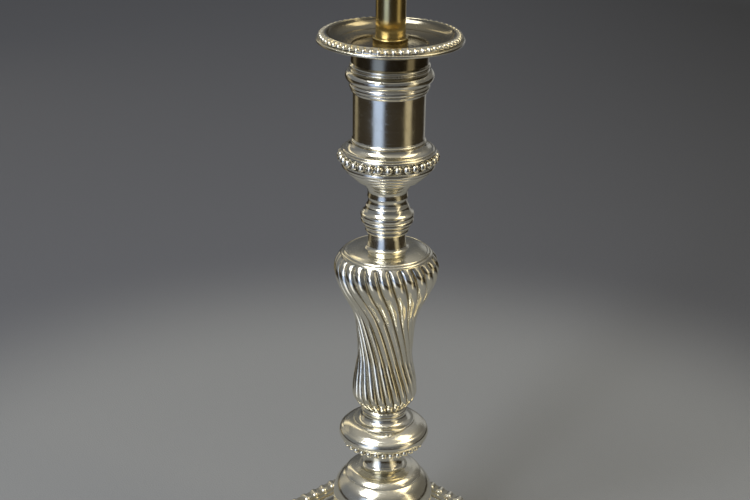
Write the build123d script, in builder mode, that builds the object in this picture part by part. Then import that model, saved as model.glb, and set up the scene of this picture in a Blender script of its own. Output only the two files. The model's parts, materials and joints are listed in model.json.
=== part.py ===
"""A table lamp made on a silver-plated candlestick.

A square loaded foot carries a turned stem with a spirally lobed baluster, a
candle socket and a beaded drip pan. One hollow threaded pipe clamps the whole
stack and rises through a plain brass tube to a bayonet lampholder.

Millimetres, +Z up. The origin is the middle of the underside of the felt, and
the sides of the foot lie along X and Y, with the cable bush at the back (+Y).
"""

import os
from math import atan2, cos, degrees, pi, radians, sin, sqrt

from build123d import *

# ---- Clearances ----------------------------------------------------------
FIT = 0.10  # between parts that slip together and are clamped, radial
PIPE_FIT = 0.20  # pipe in the bores of the stem, radial
THREAD_FIT = 0.05  # a screwed part on its thread, radial
MOVING_FIT = 0.30  # between parts that move on each other

# ---- Threaded pipe, washer and nut ---------------------------------------
PIPE_RADIUS = 5.0  # M10 thread
PIPE_BORE_RADIUS = 3.5
PIPE_BELOW_NUT = 1.0
NUT_ACROSS_FLATS = 17.0
NUT_HEIGHT = 6.0
WASHER_RADIUS = 12.0
WASHER_THICKNESS = 1.6

# ---- Foot ----------------------------------------------------------------
FOOT_SIDE = 113.6
FELT_INSET = 1.8  # from each side of the foot in to the felt
FELT_SIDE = FOOT_SIDE - 2 * FELT_INSET
FELT_THICKNESS = 1.0
FOOT_CORNER_RADIUS = 2.5
PLINTH_STEP = 1.2
PLINTH_HEIGHT = 2.6
FOOT_EDGE_HEIGHT = 9.4
FOOT_WALL = 1.4
FOOT_RISE = 11.6  # from the flat of the foot up to the seat of the dome
FOOT_SEAT_RADIUS = 29.0
FOOT_WELL_RADIUS = 47.0
WELL_MOULDING_INSET = 7.3  # from each side of the foot in to the moulding
WELL_MOULDING_SIDE = FOOT_SIDE - 2 * WELL_MOULDING_INSET
WELL_MOULDING_RADIUS = 1.1
BASE_PLATE_THICKNESS = 1.2
NUT_POCKET_RADIUS = 14.0
BUSH_HOLE_RADIUS = 3.2
BUSH_BORE_RADIUS = 2.5
BUSH_FLANGE_RADIUS = 4.1
BUSH_FLANGE_THICKNESS = 1.2
BUSH_LENGTH = 7.0

# ---- Gadrooned border of the foot ----------------------------------------
BORDER_WIDTH = 5.0
BORDER_THICKNESS = 0.8
GADROONS_PER_SIDE = 17
GADROON_LENGTH = 6.8
GADROON_WIDTH = 4.6
GADROON_SLANT = 28.0  # degrees from square to the edge
GADROON_SINK = 1.1  # from the top of the strip down to the middle of a gadroon
CORNER_SPACE = 8.6  # from the edge of the foot to the middle of the first gadroon
CORNER_KNOB_RADIUS = 3.2
CORNER_KNOB_INSET = 1.9  # from both edges of the foot in to the middle of a corner knob

# ---- Stem: heights of the turned parts, from the foot up ------------------
DOME_HEIGHT = 34.6
LOWER_KNOP_HEIGHT = 30.0
BALUSTER_HEIGHT = 79.3
UPPER_KNOP_HEIGHT = 23.7
SOCKET_HEIGHT = 59.9

# ---- Stem: walls, joints and radii ---------------------------------------
SPIGOT_WALL = 1.3
SPIGOT_LENGTH = 3.0
NECK_WALL = 1.7
STEM_WALL = 2.2
DOME_RADIUS = 23.1
DOME_FLANGE_RADIUS = 26.6
DOME_FLARE = 1.2  # of the dome where it meets its flange
LOWER_KNOP_RADIUS = 20.7
UPPER_KNOP_RADIUS = 11.7

# ---- Baluster ------------------------------------------------------------
LOBES = 24
LOBE_TWIST = 81.0  # degrees from the bottom of the lobes to their top
LOBE_SURGE = 0.3  # share by which they turn faster at mid height, and slower at the ends
LOBE_PHASE = 7.0  # degrees, where the first valley starts at the bottom
LOBE_DEPTH = 1.9
SHOULDER_RADIUS = 23.4
SHOULDER_CAP_HEIGHT = 3.4
SHOULDER_CAP_RADIUS = 20.3
WAIST_RADIUS = 12.5
BALUSTER_FOOT_RADIUS = 14.9
BALUSTER_END_RADIUS = 10.2
BALUSTER_END_HEIGHT = 0.8

# ---- Candle socket -------------------------------------------------------
SOCKET_RADIUS = 15.5
SOCKET_BORE_RADIUS = 12.4
SOCKET_BORE_DEPTH = 33.0
SOCKET_CUP_RADIUS = 20.6
SOCKET_RIM_RADIUS = 18.2

# ---- Drip pan ------------------------------------------------------------
PAN_RADIUS = 31.2
PAN_THICKNESS = 1.3
PAN_DEPTH = 5.3  # from the floor to the crest of the rim
PAN_RIM_WIDTH = 2.7  # of the slope outside the crest, which carries the beads
PAN_RIM_DROP = 1.7  # of that slope
PAN_CREST_WIDTH = 0.8
PAN_LIP_WIDTH = 0.9  # of the plain lip outside the slope
PAN_LIP_HEIGHT = 1.7
PAN_DISC_RADIUS = 16.4  # of the sunk disc round the tube
PAN_DISC_DEPTH = 0.5
PAN_STAND = 6.9  # from the top of the socket up to the floor of the pan
PAN_NECK_RADIUS = 16.5
PAN_NECK_HEIGHT = 4.6
PAN_SKIRT_LENGTH = 14.0
PAN_SKIRT_WALL = 1.5

# ---- Beaded borders ------------------------------------------------------
PAN_BEADS = 59
PAN_BEAD_LENGTH = 3.5
PAN_BEAD_WIDTH = 2.8
PAN_BEAD_SINK = 0.35  # from the slope down to the middle of the beads
PAN_BEAD_BAND = 0.35  # thickness of the strip that carries them
PAN_BEAD_SLANT = 22.0  # degrees from the way down the slope
SOCKET_BEADS = 32
SOCKET_BEAD_RADIUS = 1.85
SOCKET_BEAD_INSET = 0.2  # from the radius of the cup in to the middle of the beads
KNOP_BEADS = 32
KNOP_BEAD_RADIUS = 1.6
KNOP_BEAD_INSET = 3.2  # from the radius of the knop in to the middle of the beads
KNOP_EDGE_INSET = 1.5  # from the radius of the knop in to the edge over the beads
BEAD_BAND = 1.3  # width of the plain wire that carries a row of beads
BEAD_STAND = 0.9  # from the seat of the wire out to the middle of the beads

# ---- Brass tube ----------------------------------------------------------
TUBE_RADIUS = 6.35
TUBE_WALL = 0.9
TUBE_LENGTH = 73.0
TUBE_COLLAR_RADIUS = 7.5
TUBE_COLLAR_HEIGHT = 3.6

# ---- Lampholder ----------------------------------------------------------
CAP_RADIUS = 17.0
CAP_WALL = 1.0
CAP_ENTRY_RADIUS = 8.4
CAP_ENTRY_HEIGHT = 8.0
CAP_DOME_HEIGHT = 8.0
CAP_BODY_HEIGHT = 10.0
GRUB_RADIUS = 1.5
INSULATOR_FLANGE = 2.0
PILLAR_HEIGHT = 8.0
BARREL_BORE_RADIUS = 11.25
BARREL_SEAT_RADIUS = 11.0
BARREL_WALL = 1.0
BARREL_HEIGHT = 25.0
BARREL_MOUTH_DEPTH = 13.0
SKIRT_THREAD_RADIUS = 14.2
SKIRT_THREAD_HEIGHT = 7.5
SKIRT_END_RADIUS = 14.0
SKIRT_END_HEIGHT = 5.5
SKIRT_COLLAR_HEIGHT = 3.0
SKIRT_WALL = 1.1
SLOT_WIDTH = 2.6
SLOT_DEPTH = 8.0
SLOT_TURN = 22.0  # degrees
SLOT_LOCK = 2.0
RING_RADIUS = 20.0
RING_HEIGHT = 6.0
RING_KNURLS = 30
KNURL_RADIUS = 0.7

# ---- Contacts and switch -------------------------------------------------
CONTACT_SPACING = 9.0
CONTACT_STEM_RADIUS = 1.5
CONTACT_HEAD_RADIUS = 2.0
CONTACT_STANDS_OUT = 3.6
CONTACT_SHOULDER = 2.0
CONTACT_TRAVEL = 3.0
CONTACT_MOUTH = 1.4  # thickness of the insulator around each contact's stem
SPRING_LENGTH = 7.0
SPRING_WIRE_RADIUS = 0.25
SPRING_RADIUS = 1.45
SPRING_TURNS = 5
BAR_RADIUS = 2.5
BAR_TRAVEL = 6.0
BAR_RISE = 1.5  # from the shoulder of the cap up to the bar
BAR_STANDS_OUT = 3.0  # at the end that is pushed in
BAR_END_ROUND = 1.0
TERMINAL_SPACING = 16.0
TERMINAL_RADIUS = 1.3
TERMINAL_HEAD_RADIUS = 2.2
TERMINAL_HEAD_HEIGHT = 1.8
TERMINAL_LENGTH = 6.0
TERMINAL_SLOT = 0.6

# ---- Derived radii -------------------------------------------------------
stem_bore = PIPE_RADIUS + PIPE_FIT
spigot_radius = stem_bore + SPIGOT_WALL
recess_radius = spigot_radius + FIT
neck_radius = recess_radius + NECK_WALL
pan_skirt_radius = SOCKET_BORE_RADIUS - FIT
barrel_radius = BARREL_BORE_RADIUS + BARREL_WALL

# ---- Derived heights -----------------------------------------------------
foot_bottom = FELT_THICKNESS
foot_flat = foot_bottom + FOOT_EDGE_HEIGHT
dome_bottom = foot_flat + FOOT_RISE
knop_bottom = dome_bottom + DOME_HEIGHT
baluster_bottom = knop_bottom + LOWER_KNOP_HEIGHT
upper_knop_bottom = baluster_bottom + BALUSTER_HEIGHT
socket_bottom = upper_knop_bottom + UPPER_KNOP_HEIGHT
socket_top = socket_bottom + SOCKET_HEIGHT
pan_floor = socket_top + PAN_STAND
pan_crest = pan_floor + PAN_DEPTH
tube_top = pan_floor + TUBE_LENGTH
cap_floor = tube_top + CAP_ENTRY_HEIGHT
cap_shoulder = cap_floor + CAP_DOME_HEIGHT
cap_top = cap_shoulder + CAP_BODY_HEIGHT
insulator_top = cap_top + INSULATOR_FLANGE
pillar_top = insulator_top + PILLAR_HEIGHT
barrel_top = insulator_top + BARREL_HEIGHT
plate_top = foot_bottom + BASE_PLATE_THICKNESS
bush_height = plate_top + BUSH_HOLE_RADIUS + FIT
nut_bottom = plate_top + PIPE_BELOW_NUT + FIT
nut_top = nut_bottom + NUT_HEIGHT
washer_top = nut_top + WASHER_THICKNESS
pipe_bottom = nut_bottom - PIPE_BELOW_NUT
bar_height = cap_shoulder + BAR_RISE + BAR_RADIUS
skirt_top = insulator_top + BARREL_WALL + SKIRT_WALL
ring_bottom = skirt_top + MOVING_FIT

finished = []


def finish(part, label):
    """Label one finished piece and keep it for export."""
    part.label = label
    finished.append(part)


def outline(start, runs):
    """Draw an open outline of straight runs and arcs.

    Each run is an end point and a bulge, which is the height of its arc as a
    share of its length: positive to the left of the way, 0 for a straight run.
    """
    here = start
    for end, bulge in runs:
        if bulge == 0:
            Line(here, end)
        else:
            length = sqrt((end[0] - here[0]) ** 2 + (end[1] - here[1]) ** 2)
            SagittaArc(here, end, bulge * length)
        here = end


def turn(start, runs):
    """Revolve the outline of a turned piece, closed along the axis."""
    with BuildSketch(Plane.XZ) as profile:
        with BuildLine():
            outline((0, start[1]), [(start, 0)] + runs)
            last = runs[-1][0]
            Polyline(last, (0, last[1]), (0, start[1]))
        make_face()
    revolve(profile.sketch, axis=Axis.Z)


def ring_cut(radius, low, high):
    """Cut a round hole about the axis between two heights."""
    with BuildSketch(Plane.XY.offset(low)) as disc:
        Circle(radius)
    extrude(disc.sketch, amount=high - low, mode=Mode.SUBTRACT)


def tube_between(outer, inner, low, high):
    """Add a plain ring about the axis between two heights."""
    with BuildSketch(Plane.XY.offset(low)) as annulus:
        Circle(outer)
        Circle(inner, mode=Mode.SUBTRACT)
    extrude(annulus.sketch, amount=high - low)


def moulding(low, height, neck, swell, shares):
    """Runs of a turned profile between a neck and its widest radius.

    Each entry holds shares of the height and of the swell beyond the neck, and
    the bulge of the run that ends there.
    """
    return [
        ((neck + share * (swell - neck), low + rise * height), bulge)
        for rise, share, bulge in shares
    ]


def joint_below(low):
    """Recess in the underside of a stem piece, with the bore for the pipe."""
    ring_cut(recess_radius, low, low + SPIGOT_LENGTH + FIT)


def joint_above(high):
    """Spigot on top of a stem piece, for the recess of the next one."""
    tube_between(spigot_radius, stem_bore, high, high + SPIGOT_LENGTH)


def grain(length, width):
    """Round-ended bar of the given length and thickness, which lies along X."""
    flat = (length - width) / 2
    radius = width / 2
    with BuildSketch(Plane.XY) as half:
        with BuildLine():
            CenterArc((flat, 0), radius, 0, 90)
            Line((flat, radius), (-flat, radius))
            CenterArc((-flat, 0), radius, 90, 90)
            Line((-length / 2, 0), (length / 2, 0))
        make_face()
    return revolve(half.sketch, axis=Axis.X, mode=Mode.PRIVATE)


# ---- Foot ----------------------------------------------------------------


def square(side, corner, low, height, mode=Mode.ADD):
    """Add or cut a square block with rounded corners."""
    with BuildSketch(Plane.XY.offset(low)) as plan:
        RectangleRounded(side, side, corner)
    extrude(plan.sketch, amount=height, mode=mode)


def foot_rise(outer, seat, low, high, mode=Mode.ADD):
    """Concave round rise from the flat of the foot to the seat of the dome."""
    with BuildSketch(Plane.XZ) as profile:
        with BuildLine():
            outline((0, low), [((outer, low), 0), ((seat, high), -0.12), ((0, high), 0)])
            Line((0, high), (0, low))
        make_face()
    revolve(profile.sketch, axis=Axis.Z, mode=mode)


def bush_notch():
    """Cut room for the flange of the bush outside the edge of the foot."""
    with BuildSketch(Plane.XZ.offset(-FOOT_SIDE / 2)) as notch:
        with Locations((0, bush_height)):
            Circle(BUSH_FLANGE_RADIUS + FIT)
    extrude(notch.sketch, amount=-GADROON_LENGTH, mode=Mode.SUBTRACT)


with BuildPart() as felt_pad:
    square(FELT_SIDE, FOOT_CORNER_RADIUS, 0, FELT_THICKNESS)
finish(felt_pad.part, "felt_pad")

foot_inside = FOOT_SIDE - 2 * FOOT_WALL
dome_register = DOME_RADIUS - STEM_WALL - FIT

with BuildPart() as foot:
    square(FOOT_SIDE, FOOT_CORNER_RADIUS, foot_bottom, FOOT_EDGE_HEIGHT)
    square(FOOT_SIDE + 2 * PLINTH_STEP, FOOT_CORNER_RADIUS, foot_bottom, PLINTH_HEIGHT)
    foot_rise(FOOT_WELL_RADIUS, FOOT_SEAT_RADIUS, foot_flat - FOOT_WALL, dome_bottom)
    # The moulded step that frames the well.
    with BuildSketch(Plane.XY.offset(foot_flat)):
        RectangleRounded(WELL_MOULDING_SIDE, WELL_MOULDING_SIDE, FOOT_CORNER_RADIUS)
        inner_side = WELL_MOULDING_SIDE - 2 * WELL_MOULDING_RADIUS
        Rectangle(inner_side, inner_side, mode=Mode.SUBTRACT)
    extrude(amount=WELL_MOULDING_RADIUS)
    # Ring that centres the dome.
    tube_between(dome_register, dome_register - FOOT_WALL, dome_bottom, dome_bottom + FOOT_WALL)
    square(
        foot_inside,
        FOOT_CORNER_RADIUS - FOOT_WALL / 2,
        foot_bottom,
        FOOT_EDGE_HEIGHT - FOOT_WALL,
        Mode.SUBTRACT,
    )
    foot_rise(
        FOOT_WELL_RADIUS - FOOT_WALL,
        FOOT_SEAT_RADIUS - FOOT_WALL,
        foot_flat - FOOT_WALL - FIT,
        dome_bottom - FOOT_WALL,
        Mode.SUBTRACT,
    )
    ring_cut(stem_bore, foot_bottom, dome_bottom + FOOT_WALL)
    with BuildSketch(Plane.XZ.offset(-FOOT_SIDE / 2)):
        with Locations((0, bush_height)):
            Circle(BUSH_HOLE_RADIUS)
    extrude(amount=2 * FOOT_WALL, mode=Mode.SUBTRACT)
    bush_notch()
finish(foot.part, "foot")

with BuildPart() as base_plate:
    square(foot_inside - 2 * FIT, FOOT_CORNER_RADIUS - FOOT_WALL / 2, foot_bottom, BASE_PLATE_THICKNESS)
finish(base_plate.part, "base_plate")

filler_top = dome_bottom - FOOT_WALL - FIT
with BuildPart() as foot_filler:
    flat_top = foot_flat - FOOT_WALL - 2 * FIT
    square(foot_inside - 4 * FIT, FOOT_CORNER_RADIUS - FOOT_WALL / 2, plate_top, flat_top - plate_top)
    foot_rise(
        FOOT_WELL_RADIUS - FOOT_WALL - 2 * FIT,
        FOOT_SEAT_RADIUS - FOOT_WALL - 2 * FIT,
        flat_top - FOOT_WALL,
        filler_top,
    )
    ring_cut(NUT_POCKET_RADIUS, plate_top, washer_top)
    ring_cut(stem_bore, plate_top, filler_top)
    # Channel for the flex, from the pocket of the nut to the bush.
    with BuildSketch(Plane.XY.offset(plate_top)):
        with Locations((0, foot_inside / 4)):
            Rectangle(2 * BUSH_HOLE_RADIUS + 2 * FIT, foot_inside / 2)
    extrude(amount=2 * BUSH_HOLE_RADIUS + 3 * FIT, mode=Mode.SUBTRACT)
finish(foot_filler.part, "foot_filler")

with BuildPart() as cable_bush:
    with BuildSketch(Plane.XZ.offset(-FOOT_SIDE / 2 - BUSH_FLANGE_THICKNESS)):
        with Locations((0, bush_height)):
            Circle(BUSH_FLANGE_RADIUS)
    extrude(amount=BUSH_FLANGE_THICKNESS)
    with BuildSketch(Plane.XZ.offset(-FOOT_SIDE / 2)):
        with Locations((0, bush_height)):
            Circle(BUSH_HOLE_RADIUS - FIT / 2)
    extrude(amount=BUSH_LENGTH)
    outer_rim = cable_bush.edges().group_by(Axis.Y)[-1].sort_by(SortBy.RADIUS)[-1]
    fillet(outer_rim, BUSH_FLANGE_THICKNESS / 2)
    with BuildSketch(Plane.XZ.offset(-FOOT_SIDE / 2 - BUSH_FLANGE_THICKNESS)):
        with Locations((0, bush_height)):
            Circle(BUSH_BORE_RADIUS)
    extrude(amount=BUSH_FLANGE_THICKNESS + BUSH_LENGTH, mode=Mode.SUBTRACT)
finish(cable_bush.part, "cable_bush")


def gadroon_places():
    """Places of the gadroons along the four sides of the foot.

    They slant away from the middle of each side, where one stands square.
    """
    half = GADROONS_PER_SIDE // 2
    pitch = (FOOT_SIDE / 2 - CORNER_SPACE) / half
    across = FOOT_SIDE / 2 - GADROON_LENGTH / 3
    places = []
    for side in range(4):
        for number in range(-half, half + 1):
            centre = Vector(across, number * pitch, 0).rotate(Axis.Z, 90 * side)
            slant = GADROON_SLANT * ((number > 0) - (number < 0))
            centre.Z = border_top - GADROON_SINK
            places.append(Location(centre, (0, 0, 90 * side + slant)))
    return places


border_top = foot_flat + BORDER_THICKNESS
with BuildPart() as foot_border:
    with BuildSketch(Plane.XY.offset(foot_flat)):
        RectangleRounded(FOOT_SIDE, FOOT_SIDE, FOOT_CORNER_RADIUS)
        inner_side = FOOT_SIDE - 2 * BORDER_WIDTH
        Rectangle(inner_side, inner_side, mode=Mode.SUBTRACT)
    extrude(amount=BORDER_THICKNESS)
    gadroon = grain(GADROON_LENGTH, GADROON_WIDTH)
    with Locations(*gadroon_places()):
        add(gadroon)
    corner = FOOT_SIDE / 2 - CORNER_KNOB_INSET
    with Locations((0, 0, border_top - GADROON_SINK)):
        with GridLocations(2 * corner, 2 * corner, 2, 2):
            Sphere(CORNER_KNOB_RADIUS)
    # The border wraps the edge of the foot and stands on its flat.
    square(FOOT_SIDE, FOOT_CORNER_RADIUS, foot_bottom, FOOT_EDGE_HEIGHT, Mode.SUBTRACT)
    bush_notch()
finish(foot_border.part, "foot_border")

# ---- Pipe, washer and nut ------------------------------------------------

pipe_top = cap_floor
with BuildPart() as lamp_pipe:
    tube_between(PIPE_RADIUS, PIPE_BORE_RADIUS, pipe_bottom, pipe_top)
    chamfer(lamp_pipe.edges().filter_by(GeomType.CIRCLE).filter_by(
        lambda edge: edge.radius > PIPE_BORE_RADIUS + FIT), FIT * 5)
finish(lamp_pipe.part, "lamp_pipe")

with BuildPart() as base_washer:
    tube_between(WASHER_RADIUS, PIPE_RADIUS + FIT, nut_top, washer_top)
finish(base_washer.part, "base_washer")

with BuildPart() as base_nut:
    with BuildSketch(Plane.XY.offset(nut_bottom)):
        RegularPolygon(NUT_ACROSS_FLATS / 2, 6, major_radius=False)
        Circle(PIPE_RADIUS + THREAD_FIT, mode=Mode.SUBTRACT)
    extrude(amount=NUT_HEIGHT)
finish(base_nut.part, "base_nut")

# ---- Dome on the foot ----------------------------------------------------

with BuildPart() as dome:
    flange_top = dome_bottom + 0.13 * DOME_HEIGHT
    dome_runs = [
        ((DOME_FLANGE_RADIUS, dome_bottom + 0.02 * DOME_HEIGHT), 0),
        ((DOME_FLANGE_RADIUS, flange_top - 0.01 * DOME_HEIGHT), -0.45),
        ((DOME_RADIUS + DOME_FLARE, flange_top), 0),
        ((DOME_RADIUS, dome_bottom + 0.27 * DOME_HEIGHT), 0.15),
    ] + moulding(dome_bottom, DOME_HEIGHT, neck_radius, DOME_RADIUS, [
        (0.48, 1.00, -0.02),
        (0.83, 0.64, -0.14),
        (0.86, 0.64, 0),
        (0.94, 0.34, -0.10),
        (0.96, 0.20, 0),
        (1.00, 0.00, 0.20),
    ])
    turn((DOME_FLANGE_RADIUS, dome_bottom), dome_runs)
    # Hollow under the dome, which leaves a solid neck.
    hollow_radius = DOME_RADIUS - STEM_WALL
    hollow_top = dome_bottom + 0.45 * DOME_HEIGHT
    with BuildSketch(Plane.XZ):
        with BuildLine():
            Polyline((0, hollow_top + hollow_radius / 2), (0, dome_bottom), (hollow_radius, dome_bottom),
                     (hollow_radius, hollow_top))
            EllipticalCenterArc((0, hollow_top), hollow_radius, hollow_radius / 2, arc_size=90)
        make_face()
    revolve(axis=Axis.Z, mode=Mode.SUBTRACT)
    ring_cut(stem_bore, dome_bottom, knop_bottom)
    joint_above(knop_bottom)
finish(dome.part, "dome")

# ---- Lower knop and its beads --------------------------------------------


def bead_row(seat, height, count, bead_radius):
    """Wire with a row of round beads, for a groove of a turned piece."""
    row = seat + BEAD_STAND
    tube_between(row, seat + FIT / 2, height - BEAD_BAND / 2, height + BEAD_BAND / 2)
    with Locations((0, 0, height)):
        with PolarLocations(row, count):
            Sphere(bead_radius)
    ring_cut(seat + FIT / 2, height - 2 * bead_radius, height + 2 * bead_radius)


knop_bead_height = knop_bottom + 0.425 * LOWER_KNOP_HEIGHT
knop_bead_seat = LOWER_KNOP_RADIUS - KNOP_BEAD_INSET - BEAD_STAND

with BuildPart() as lower_knop:
    groove_low = knop_bead_height - KNOP_BEAD_RADIUS - FIT
    groove_high = knop_bead_height + KNOP_BEAD_RADIUS + FIT
    under = moulding(knop_bottom, LOWER_KNOP_HEIGHT, neck_radius, LOWER_KNOP_RADIUS, [
        (0.036, 0.10, 0.30),
        (0.256, 0.00, 0.06),
        (0.320, 0.14, 0.15),
    ])
    over = moulding(knop_bottom, LOWER_KNOP_HEIGHT, neck_radius, LOWER_KNOP_RADIUS, [
        (0.527, 0.988, -0.20),
        (0.563, 1.000, -0.08),
        (0.663, 0.863, -0.13),
        (0.757, 0.470, -0.07),
        (0.777, 0.430, -0.25),
        (0.777, 0.370, 0),
        (0.905, 0.110, 0.22),
        (0.922, 0.150, 0),
        (0.988, 0.150, -0.28),
        (1.000, 0.125, 0),
    ])
    groove = [
        ((knop_bead_seat, groove_low), 0.05),
        ((knop_bead_seat, groove_high), 0),
        ((LOWER_KNOP_RADIUS - KNOP_EDGE_INSET, groove_high), 0),
    ]
    turn((neck_radius, knop_bottom), under + groove + over)
    ring_cut(stem_bore, knop_bottom, baluster_bottom)
    joint_below(knop_bottom)
    joint_above(baluster_bottom)
finish(lower_knop.part, "lower_knop")

with BuildPart() as lower_knop_beads:
    bead_row(knop_bead_seat, knop_bead_height, KNOP_BEADS, KNOP_BEAD_RADIUS)
finish(lower_knop_beads.part, "lower_knop_beads")

# ---- Baluster with spiral lobes ------------------------------------------


def mix(first, second, share):
    """Value that lies the given share of the way from the first to the second."""
    return first + share * (second - first)


# Shares of the height of the lobes, the radius there over the crests, and
# shares of the full depth of the valleys.
lobe_stations = [
    (0.000, BALUSTER_END_RADIUS, 0.08),
    (0.012, mix(BALUSTER_END_RADIUS, BALUSTER_FOOT_RADIUS, 0.30), 0.60),
    (0.030, mix(BALUSTER_END_RADIUS, BALUSTER_FOOT_RADIUS, 0.56), 0.75),
    (0.060, mix(BALUSTER_END_RADIUS, BALUSTER_FOOT_RADIUS, 0.86), 0.80),
    (0.105, BALUSTER_FOOT_RADIUS, 0.80),
    (0.172, mix(BALUSTER_FOOT_RADIUS, WAIST_RADIUS, 0.18), 0.74),
    (0.234, mix(BALUSTER_FOOT_RADIUS, WAIST_RADIUS, 0.52), 0.66),
    (0.296, mix(BALUSTER_FOOT_RADIUS, WAIST_RADIUS, 0.84), 0.62),
    (0.358, WAIST_RADIUS, 0.60),
    (0.410, mix(WAIST_RADIUS, SHOULDER_RADIUS, 0.015), 0.60),
    (0.462, mix(WAIST_RADIUS, SHOULDER_RADIUS, 0.040), 0.62),
    (0.514, mix(WAIST_RADIUS, SHOULDER_RADIUS, 0.075), 0.64),
    (0.571, mix(WAIST_RADIUS, SHOULDER_RADIUS, 0.130), 0.68),
    (0.633, mix(WAIST_RADIUS, SHOULDER_RADIUS, 0.240), 0.74),
    (0.700, mix(WAIST_RADIUS, SHOULDER_RADIUS, 0.455), 0.82),
    (0.767, mix(WAIST_RADIUS, SHOULDER_RADIUS, 0.705), 0.90),
    (0.834, mix(WAIST_RADIUS, SHOULDER_RADIUS, 0.900), 0.96),
    (0.912, SHOULDER_RADIUS, 1.00),
    (0.953, mix(SHOULDER_CAP_RADIUS, SHOULDER_RADIUS, 0.82), 1.00),
    (0.984, mix(SHOULDER_CAP_RADIUS, SHOULDER_RADIUS, 0.42), 0.80),
    (1.000, mix(SHOULDER_CAP_RADIUS, SHOULDER_RADIUS, 0.10), 0.08),
]
lobe_pitch = 360 / LOBES
lobe_bottom = baluster_bottom + BALUSTER_END_HEIGHT
lobe_top = upper_knop_bottom - SHOULDER_CAP_HEIGHT


def lobe_turn(share):
    """Degrees that the lobes have turned at a share of their height."""
    return LOBE_TWIST * (share - LOBE_SURGE * sin(radians(360 * share)) / (2 * pi))


def polar_point(radius, angle):
    """Point at a radius and an angle in degrees."""
    return (radius * cos(radians(angle)), radius * sin(radians(angle)))


with BuildPart() as baluster:
    for share, crest, depth_share in lobe_stations:
        valley = crest - depth_share * LOBE_DEPTH
        first = LOBE_PHASE - lobe_turn(share)
        with BuildSketch(Plane.XY.offset(mix(lobe_bottom, lobe_top, share))):
            with BuildLine():
                for lobe in range(LOBES):
                    start_angle = first + lobe * lobe_pitch
                    ThreePointArc(
                        polar_point(valley, start_angle),
                        polar_point(crest, start_angle + lobe_pitch / 2),
                        polar_point(valley, start_angle + lobe_pitch),
                    )
            make_face()
    loft()
    tube_between(BALUSTER_END_RADIUS - LOBE_DEPTH, stem_bore, baluster_bottom, lobe_bottom)
    # Plain cap over the shoulder, with two raised lines.
    cap = moulding(lobe_top, SHOULDER_CAP_HEIGHT, neck_radius, SHOULDER_CAP_RADIUS, [
        (0.28, 0.93, -0.12),
        (0.24, 0.90, 0),
        (0.52, 0.82, -0.12),
        (0.47, 0.79, 0),
        (0.95, 0.13, -0.07),
        (1.00, 0.11, 0),
    ])
    turn((SHOULDER_CAP_RADIUS, lobe_top), cap)
    # Hollow inside, closed to the bore at both ends.
    with BuildSketch(Plane.XZ) as core:
        with BuildLine():
            core_points = [
                (crest - LOBE_DEPTH - STEM_WALL, mix(lobe_bottom, lobe_top, share))
                for share, crest, _ in lobe_stations[3:-2]
            ]
            Spline(*core_points)
            Polyline(core_points[-1], (stem_bore, lobe_top - STEM_WALL), (0, lobe_top - STEM_WALL),
                     (0, core_points[0][1]), core_points[0])
        make_face()
    revolve(axis=Axis.Z, mode=Mode.SUBTRACT)
    ring_cut(stem_bore, baluster_bottom, upper_knop_bottom)
    joint_below(baluster_bottom)
    joint_above(upper_knop_bottom)
finish(baluster.part, "baluster")

# ---- Upper knop ----------------------------------------------------------

with BuildPart() as upper_knop:
    knop_runs = moulding(upper_knop_bottom, UPPER_KNOP_HEIGHT, neck_radius, UPPER_KNOP_RADIUS, [
        (0.06, 0.07, 0.12),
        (0.29, 0.00, 0.02),
        (0.30, 0.24, 0),
        (0.39, 0.32, -0.20),
        (0.40, 0.48, 0),
        (0.48, 0.58, -0.12),
        (0.49, 0.84, 0),
        (0.57, 0.93, -0.15),
        (0.58, 0.86, 0),
        (0.62, 1.00, -0.10),
        (0.68, 0.96, -0.10),
        (0.69, 0.84, 0),
        (0.82, 0.34, 0.10),
        (0.92, 0.08, 0.08),
        (1.00, 0.18, 0.05),
    ])
    turn((mix(neck_radius, UPPER_KNOP_RADIUS, 0.30), upper_knop_bottom), knop_runs)
    ring_cut(stem_bore, upper_knop_bottom, socket_bottom)
    joint_below(upper_knop_bottom)
    joint_above(socket_bottom)
finish(upper_knop.part, "upper_knop")

# ---- Candle socket and its beads -----------------------------------------

socket_bead_height = socket_bottom + 0.304 * SOCKET_HEIGHT
socket_bead_seat = SOCKET_CUP_RADIUS - SOCKET_BEAD_INSET - BEAD_STAND

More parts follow.
